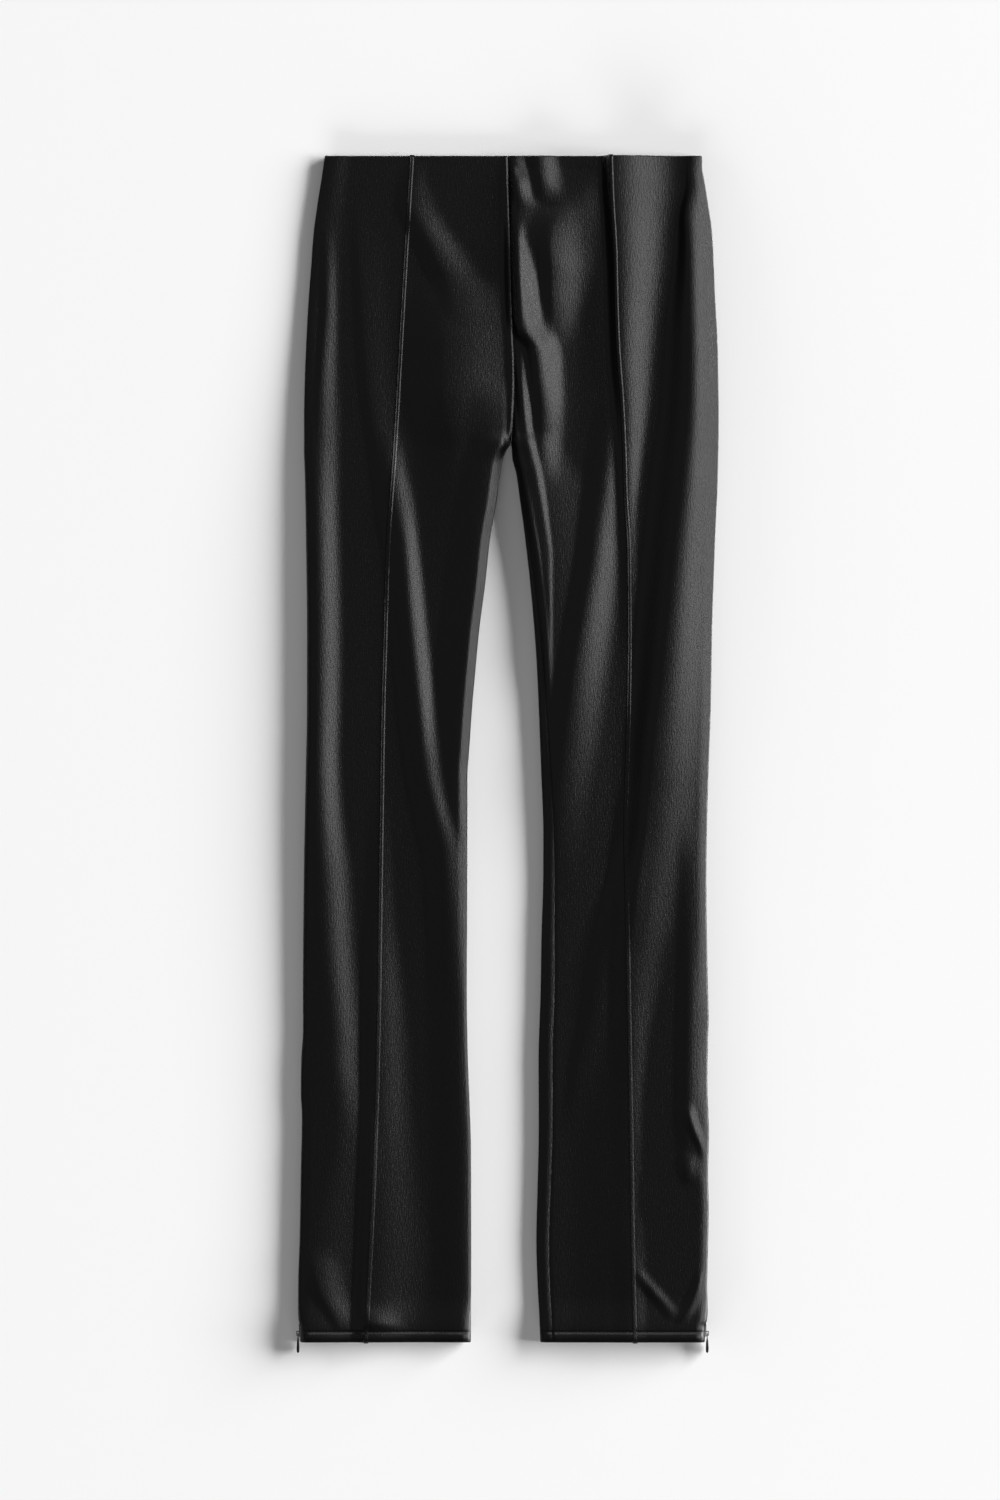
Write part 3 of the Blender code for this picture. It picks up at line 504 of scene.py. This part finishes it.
def lengthwise(step):
    """down and depth of each row, from inside the waist edge to inside the hem."""
    angle = np.radians(np.linspace(180, 0, TURN_STEPS))
    round_over = FOLD_RADIUS * (1 - np.sin(angle)), FOLD_RADIUS * (1 - np.cos(angle))
    inside = FOLD_RADIUS + np.linspace(TURN_IN, 0, 4)[:-1]
    between = np.arange(WAIST_ROWS[1], HEM_ROWS[0], step)
    body = np.concatenate([np.arange(*WAIST_ROWS), between, np.arange(*HEM_ROWS)])
    hem = SIDE_LENGTH - FOLD_RADIUS - np.linspace(0, HEM_DEPTH, 5)[1:]
    down = np.concatenate([inside, round_over[0], body, SIDE_LENGTH - round_over[0][::-1], hem])
    depth = np.concatenate(
        [
            np.full(len(inside), 2 * FOLD_RADIUS),
            round_over[1],
            np.zeros(len(body)),
            round_over[1][::-1],
            np.full(len(hem), 2 * FOLD_RADIUS),
        ]
    )
    return down, depth


def sheet_mesh(name, x, down, z, flip):
    """A grid of cloth, whose rows run down the garment, moved to x, down and z."""
    rows, columns = x.shape
    bm = bmesh.new()
    bmesh.ops.create_grid(bm, x_segments=columns - 1, y_segments=rows - 1, size=0.5)
    mesh = bpy.data.meshes.new(name)
    bm.to_mesh(mesh)
    border = [edge.is_boundary for edge in bm.edges]
    bm.free()
    spot = np.empty(len(mesh.vertices) * 3)
    mesh.vertices.foreach_get("co", spot)
    spot = spot.reshape(-1, 3)
    column = np.rint((spot[:, 0] + 0.5) * (columns - 1)).astype(int)
    row = np.rint((0.5 - spot[:, 1]) * (rows - 1)).astype(int)
    spot[:, 0] = x[row, column]
    spot[:, 1] = WAIST_Y - down[row, column]
    spot[:, 2] = z[row, column]
    mesh.vertices.foreach_set("co", (spot * MM).ravel())
    if flip:
        mesh.flip_normals()
    mesh.shade_smooth()
    mesh.edges.foreach_set("use_edge_sharp", border)
    mesh.update()
    return mesh


def finish_cloth(piece, node):
    wall = piece.modifiers.new("thickness", "SOLIDIFY")
    wall.thickness = CLOTH_THICKNESS * MM
    wall.offset = -1
    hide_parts(node)
    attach(piece, "garment")


def add_grain(material, spread, height):
    """Fine streaks along the garment, which the cloth's knit leaves in its coat."""
    nodes, links = material.node_tree.nodes, material.node_tree.links
    place = nodes.new("ShaderNodeTexCoord")
    stretch = nodes.new("ShaderNodeMapping")
    stretch.inputs["Scale"].default_value = spread
    streaks = nodes.new("ShaderNodeTexNoise")
    streaks.inputs["Scale"].default_value = 1.0
    streaks.inputs["Detail"].default_value = 3.0
    streaks.inputs["Roughness"].default_value = 0.6
    bump = nodes.new("ShaderNodeBump")
    bump.inputs["Distance"].default_value = height
    links.new(place.outputs["Object"], stretch.inputs["Vector"])
    links.new(stretch.outputs["Vector"], streaks.inputs["Vector"])
    links.new(streaks.outputs["Fac"], bump.inputs["Height"])
    links.new(bump.outputs["Normal"], nodes["Principled BSDF"].inputs["Normal"])


coated_cloth = new_material(
    "coated cloth", Base_Color=(0.0036, 0.0036, 0.0039, 1), Roughness=0.32, Specular_IOR_Level=0.5
)
add_grain(coated_cloth, (900, 200, 900), 0.0002)


def back_panel(leg):
    down, depth = lengthwise(BACK_ROW_STEP)
    down, depth = down[:, None], depth[:, None]
    outer, inner = through(leg.outer, down), inner_edge(leg, down)
    last = seam_turn(leg, down)
    outer_turn = np.linspace(0, pi / 2, OUTER_ROLL_STEPS)[None, :]
    inner_turn = -pi / 2 + (last + pi / 2) * np.linspace(0, 1, INNER_ROLL_STEPS)[None, :]
    at_outer = outer + leg.inward * ROLL_WIDTH * (1 - np.cos(outer_turn))
    at_inner = inner - leg.inward * leg.inner_roll * (1 - np.cos(inner_turn))
    flat = np.linspace(0, 1, FLAT_STEPS + 2)[None, 1:-1]
    between = at_outer[:, -1:] + (at_inner[:, :1] - at_outer[:, -1:]) * flat
    x = np.concatenate([at_outer, between, at_inner], axis=1)
    downs = np.broadcast_to(down, x.shape)
    on_top = np.zeros(x.shape, bool)
    on_top[:, -INNER_ROLL_STEPS:] = inner_turn > 1e-6
    low_x, low_z = lower_layer(leg, x, downs, depth)
    top_x, top_z = upper_layer(leg, x, downs, depth)
    x, z = np.where(on_top, top_x, low_x), np.where(on_top, top_z, low_z)
    name = f"back_cloth_{leg.name}"
    piece = new_object(name, sheet_mesh(name, x, downs, z, leg.inward > 0), coated_cloth)
    finish_cloth(piece, f"back_{leg.name}")
    return piece


backs = {leg.name: back_panel(leg) for leg in (RIGHT, LEFT)}


# Front panels. The same coated knit, a half for each leg, joined at the centre
# front. They lie on the back panels, rolled over at the edges, and fall in long
# soft folds from the waist and the crotch.
OUTER_COLUMNS, INNER_COLUMNS = 57, 61
CROWDING = 1.5  # how much closer the columns stand towards the edges


def front_panel(leg):
    down, depth = lengthwise(FRONT_ROW_STEP)
    down, depth = down[:, None], depth[:, None]
    outer, inner = through(leg.outer, down), inner_edge(leg, down)
    inner = inner - leg.inward * leg.inner_roll * (1 - np.cos(seam_turn(leg, down)))
    tuck = through(leg.tuck, down)
    to_tuck = np.linspace(0, 1, OUTER_COLUMNS)[None, :] ** CROWDING
    to_inner = np.linspace(1, 0, INNER_COLUMNS)[None, 1:] ** CROWDING
    x = np.concatenate([outer + (tuck - outer) * to_tuck, inner + (tuck - inner) * to_inner], axis=1)
    downs = np.broadcast_to(down, x.shape)
    x, z = upper_layer(leg, x, downs, depth)
    name = f"front_cloth_{leg.name}"
    piece = new_object(name, sheet_mesh(name, x, downs, z, leg.inward < 0), coated_cloth)
    finish_cloth(piece, f"front_{leg.name}")
    return piece


fronts = {leg.name: front_panel(leg) for leg in (RIGHT, LEFT)}


# Pintucks. A fold of each front panel, 4 mm wide, stitched down along its root
# and pressed towards the side, so that its fold and its stitched root both catch
# the light. It runs from the waist edge to the hem and turns over both.
TUCK_SECTION = (  # across, height above the panel, and what the lip adds down to the knee
    (-2.1, -0.3, 0), (-1.8, 0.3, 0.1), (-1.4, 0.52, 0.12), (-1.0, 0.5, 0.06), (-0.5, 0.44, -0.04),
    (0.1, 0.4, 0), (0.7, 0.32, 0.12), (1.1, 0.25, 0.16), (1.6, 0.12, 0.06), (2.1, -0.08, 0),
)
TUCK_KNEE = (500.0, 780.0)  # from here to there its lip flattens out
TUCK_CALF_SHARE = 0.6  # of its height is left below the knee
TUCK_OVERHANG, TUCK_TURN, TUCK_STEP = 0.6, 2.0, 3.0
TUCK_ROOT_SINK = 0.6


def tuck(leg):
    turn = np.linspace(pi, pi / 2, 5)
    waist = TUCK_TURN * (1 - np.sin(turn)) - TUCK_OVERHANG, -TUCK_TURN * np.cos(turn)
    body = np.arange(TUCK_TURN + 0.5, SIDE_LENGTH - TUCK_TURN, TUCK_STEP)
    down = np.concatenate([waist[0], body, SIDE_LENGTH - waist[0][::-1]])[:, None]
    sunk = np.concatenate([waist[1], np.zeros(len(body)), waist[1][::-1]])[:, None]
    on_panel = np.clip(down, FOLD_RADIUS, SIDE_LENGTH - FOLD_RADIUS)
    middle = through(leg.tuck, on_panel)
    across, low, lip = np.array(TUCK_SECTION).T[:, None, :]
    softer = smoothstep((down - TUCK_KNEE[0]) / (TUCK_KNEE[1] - TUCK_KNEE[0]))
    above = low * (1 - (1 - TUCK_CALF_SHARE) * softer) + lip * (1 - softer)
    x = middle + across
    _, panel = upper_layer(leg, x, on_panel, 0)
    z = panel + above - sunk * np.where(above > 0, 1, TUCK_ROOT_SINK)
    name = f"tuck_fold_{leg.name}"
    downs = np.broadcast_to(down, x.shape)
    piece = new_object(name, sheet_mesh(name, x, downs, z, False), coated_cloth)
    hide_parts(f"tuck_{leg.name}")
    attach(piece, "garment")
    return piece


tucks = {leg.name: tuck(leg) for leg in (RIGHT, LEFT)}


# Hem stitches. The 11 mm turn-up is held by one row of black lockstitch all round
# each hem, about 3 mm to a stitch, sunk a little into the coated cloth.
STITCH_PITCH, STITCH_LENGTH, STITCH_RADIUS = 3.0, 2.3, 0.2
STITCH_LIFT = 0.05
ROW_START, ROW_END = 3.0, 2.0  # in from the cloth's edges
thread = new_material("black thread", Base_Color=(0.006, 0.006, 0.0065, 1), Roughness=0.55)


def add_stitch(bm, x, down, z, slope):
    """A stitch along X as a six-sided capsule, tilted to lie along the cloth."""
    made = bmesh.ops.create_uvsphere(bm, u_segments=6, v_segments=5, radius=STITCH_RADIUS * MM)
    for vert in made["verts"]:
        along = vert.co.z + np.sign(round(vert.co.z, 6)) * (STITCH_LENGTH / 2 - STITCH_RADIUS) * MM
        vert.co = (
            x * MM + along,
            (WAIST_Y - down) * MM + vert.co.x,
            z * MM + along * slope + vert.co.y,
        )


def hem_stitches(leg):
    bm = bmesh.new()
    ends = sorted((float(through(leg.outer, STITCH_DOWN)), float(inner_edge(leg, STITCH_DOWN))))
    places = np.arange(ends[0] + ROW_START, ends[1] - ROW_END, STITCH_PITCH)
    for x in places:
        here = np.array([x - 1.0, x, x + 1.0])
        _, (before, z, after) = upper_layer(leg, here, np.full(3, STITCH_DOWN), 0)
        add_stitch(bm, x, STITCH_DOWN, z + STITCH_LIFT, (after - before) / 2)
    for x in places:
        if ends[0] + ROLL_WIDTH < x < ends[1] - leg.inner_roll:
            add_stitch(bm, x, STITCH_DOWN, STITCH_RADIUS, 0.0)
    mesh = bpy.data.meshes.new(f"hem_stitches_{leg.name}")
    bm.to_mesh(mesh)
    bm.free()
    mesh.shade_smooth()
    piece = new_object(mesh.name, mesh, thread)
    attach(piece, "garment")
    return piece


stitches = {leg.name: hem_stitches(leg) for leg in (RIGHT, LEFT)}


# Zips. A fine nylon coil on black woven tapes, sewn behind the edges of each
# outer ankle seam, which closes over it. The coil runs up and down between the
# two tapes like a tight spring.
ZIP_TOP = {"right": 776.0, "left": 749.0}
ZIP_FOOT = 1034.0
COIL_IN, COIL_HALF_DEPTH, COIL_HALF_HEIGHT = 2.5, 0.5, 0.85
COIL_PITCH, WIRE_RADIUS = 1.3, 0.24
COIL_STEPS = 12  # a turn
WIRE_SIDES = 6
TAPE_SECTION = ((2.3, 0.5), (2.7, 0.9), (3.2, 1.15), (3.8, 1.3))  # in from the edge, from mid-height
TAPE_OVERRUN, TAPE_STEP, TAPE_THICKNESS = 4.0, 4.0, 0.35
OFF_WIRE = (0.31, 0.17, 0.93)  # a direction that no part of the wire follows
zip_tape = new_material("zip tape", Base_Color=(0.008, 0.008, 0.009, 1), Roughness=0.85)
nylon = new_material("nylon coil", Base_Color=(0.01, 0.01, 0.011, 1), Roughness=0.4)


def wire_mesh(name, path):
    """A round wire along a path of points, in millimetres."""
    tangent = np.gradient(path, axis=0)
    tangent /= np.linalg.norm(tangent, axis=1, keepdims=True)
    first = np.cross(tangent, OFF_WIRE)
    first /= np.linalg.norm(first, axis=1, keepdims=True)
    second = np.cross(tangent, first)
    turn = np.linspace(0, 2 * pi, WIRE_SIDES + 1)[None, :, None]
    around = np.cos(turn) * first[:, None] + np.sin(turn) * second[:, None]
    rows = path[:, None, :] + WIRE_RADIUS * around
    mesh = sheet_mesh(name, rows[:, :, 0], rows[:, :, 1], rows[:, :, 2], False)
    bm = bmesh.new()
    bm.from_mesh(mesh)
    bmesh.ops.remove_doubles(bm, verts=bm.verts, dist=1e-6)
    bmesh.ops.holes_fill(bm, edges=bm.edges, sides=WIRE_SIDES)
    for edge in bm.edges:
        edge.smooth = True
    bmesh.ops.recalc_face_normals(bm, faces=bm.faces)
    bm.to_mesh(mesh)
    bm.free()
    mesh.shade_smooth()
    return mesh


def zip_pieces(leg):
    top = ZIP_TOP[leg.name]
    turns = (ZIP_FOOT - top) / COIL_PITCH
    turn = np.linspace(0, 2 * pi * turns, int(turns * COIL_STEPS))
    down = top + turn / (2 * pi) * COIL_PITCH
    edge = through(leg.outer, down)
    path = np.stack(
        [
            edge + leg.inward * (COIL_IN + COIL_HALF_DEPTH * np.cos(turn)),
            down,
            SEAM_HEIGHT + COIL_HALF_HEIGHT * np.sin(turn),
        ],
        axis=1,
    )
    name = f"zip_coil_{leg.name}"
    coil = new_object(name, wire_mesh(name, path), nylon)
    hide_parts(f"zip_{leg.name}")
    made = [coil]
    down = np.arange(top - TAPE_OVERRUN, ZIP_FOOT + 0.1, TAPE_STEP)[:, None]
    far, lift = np.array(TAPE_SECTION).T[:, None, :]
    for word, side in (("front", 1), ("back", -1)):
        x = through(leg.outer, down) + leg.inward * far
        z = SEAM_HEIGHT + side * lift + 0 * down
        name = f"zip_tape_{word}_{leg.name}"
        mesh = sheet_mesh(name, x, np.broadcast_to(down, x.shape), z, False)
        tape = new_object(name, mesh, zip_tape)
        tape.modifiers.new("thickness", "SOLIDIFY").thickness = TAPE_THICKNESS * MM
        made.append(tape)
    for piece in made:
        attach(piece, "garment")


for leg in (RIGHT, LEFT):
    zip_pieces(leg)


# Sliders and pulls. Small die-cast pieces with black enamel: a plate with a
# bridge at the foot of each zip, and a teardrop pull that hangs from the bridge.
SOFT_EDGE = 0.15
SHARP_ANGLE, FLAT_ANGLE = 35, 1  # in degrees
PULL_BULGE, PULL_NECK = 1.4, 1047.0  # how much fuller the pull is below its neck
enamel = new_material(
    "black enamel", Base_Color=(0.006, 0.006, 0.0065, 1), Roughness=0.5, Specular_IOR_Level=0.25
)


def softened(node, body):
    """A copy of a CAD piece, merged into one skin, with its sharp edges rounded."""
    bm = bmesh.new()
    bm.from_mesh(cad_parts[node].data)
    bmesh.ops.remove_doubles(bm, verts=bm.verts, dist=1e-6)
    if node.startswith("pull"):
        middle = sum(vert.co.x for vert in bm.verts) / len(bm.verts)
        for vert in bm.verts:
            if WAIST_Y - vert.co.y / MM > PULL_NECK:
                vert.co.x = middle + (vert.co.x - middle) * PULL_BULGE
    bmesh.ops.dissolve_limit(bm, angle_limit=radians(FLAT_ANGLE), verts=bm.verts, edges=bm.edges)
    sharp = [edge for edge in bm.edges if edge.calc_face_angle(0) > radians(SHARP_ANGLE)]
    bmesh.ops.bevel(
        bm,
        geom=sharp,
        offset=SOFT_EDGE * MM,
        offset_type="OFFSET",
        affect="EDGES",
        segments=2,
        profile=0.5,
        material=-1,
        clamp_overlap=True,
    )
    mesh = bpy.data.meshes.new(f"{node}_enamelled")
    bm.to_mesh(mesh)
    bm.free()
    mesh.shade_smooth()
    mesh.set_sharp_from_angle(angle=radians(SHARP_ANGLE))
    piece = new_object(mesh.name, mesh, enamel)
    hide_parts(node)
    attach(piece, body)


for side in ("right", "left"):
    softened(f"slider_{side}", "garment")
    softened(f"pull_{side}", f"pull_{side}")
